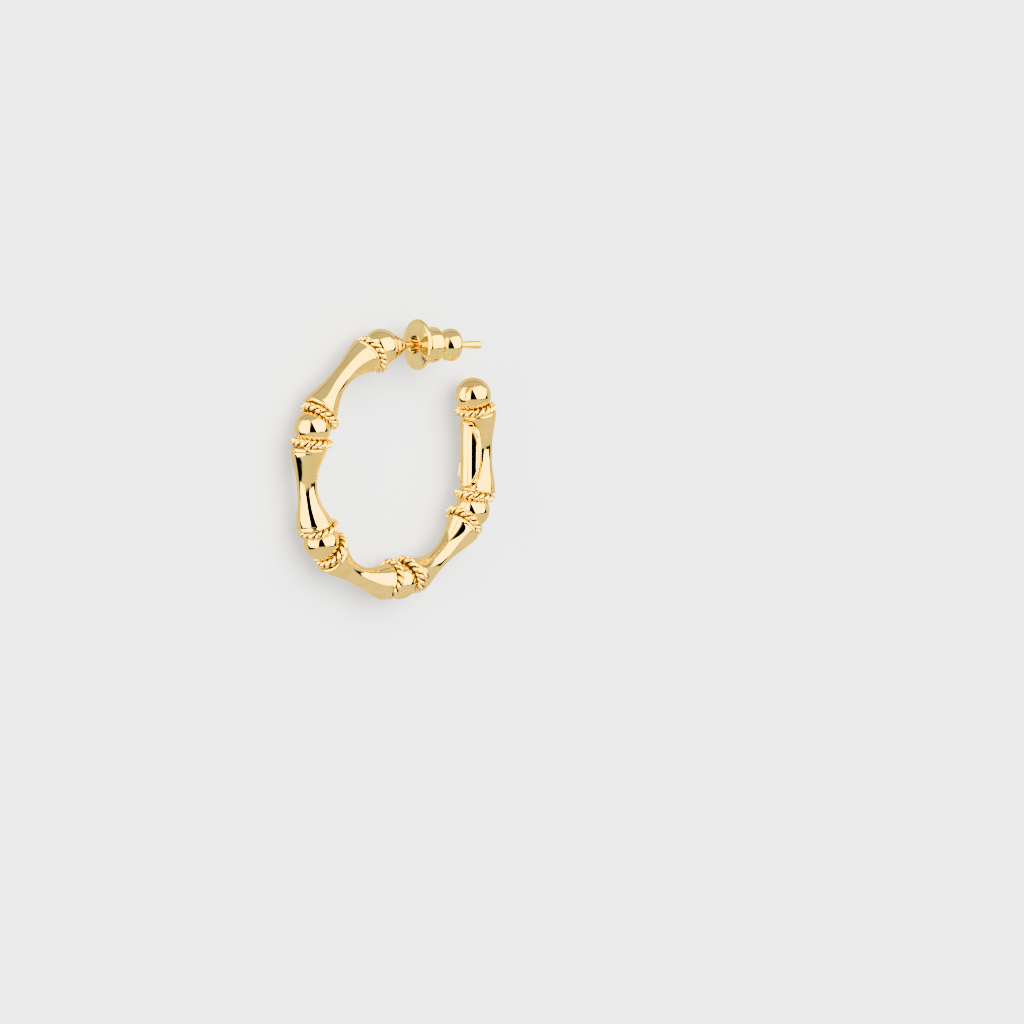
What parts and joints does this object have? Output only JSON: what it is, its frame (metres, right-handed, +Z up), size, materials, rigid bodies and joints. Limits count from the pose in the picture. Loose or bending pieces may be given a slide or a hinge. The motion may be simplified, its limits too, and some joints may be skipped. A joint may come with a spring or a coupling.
{
  "type": "hoop earring",
  "caption": "Open hoop earring of bowed bamboo segments, round balls and twisted rope rings, with an oval plate inside, an ear post and a clutch that slides on it.",
  "frame": {"origin": "the centre of the hoop, at the mount hoop_inside", "axes": "X and Y lie in the plane of the hoop, +Y points to the top of the hoop as worn, and +Z is up, square to the hoop's plane, as the earring lies on its side"},
  "size_m": [0.0334, 0.0352, 0.0067],
  "materials": {
    "gold": "gold plate, mirror polished",
    "rope_gold": "gold plate, polished",
    "clutch_gold": "gold plate, softly polished"
  },
  "bodies": {
    "hoop": {"ball_1": "gold", "ball_2": "gold", "ball_3": "gold", "ball_4": "gold", "ball_5": "gold", "ball_6": "gold", "bamboo_1": "gold", "bamboo_2": "gold", "bamboo_3": "gold", "bamboo_4": "gold", "bamboo_5": "gold", "rope_ring_1": "rope_gold", "rope_ring_2": "rope_gold", "rope_ring_3": "rope_gold", "rope_ring_4": "rope_gold", "rope_ring_5": "rope_gold", "rope_ring_6": "rope_gold", "rope_ring_7": "rope_gold", "rope_ring_8": "rope_gold", "rope_ring_9": "rope_gold", "rope_ring_10": "rope_gold", "plate": "gold", "ear_post": "gold"},
    "clutch": {"clutch": "clutch_gold"}
  },
  "joints": [
    {"name": "clutch_slide", "type": "slide", "parent": "hoop", "child": "clutch", "axis": [0.9795, -0.0822, 0.1839], "range_m": [-0.00195, 0.01]}
  ]
}
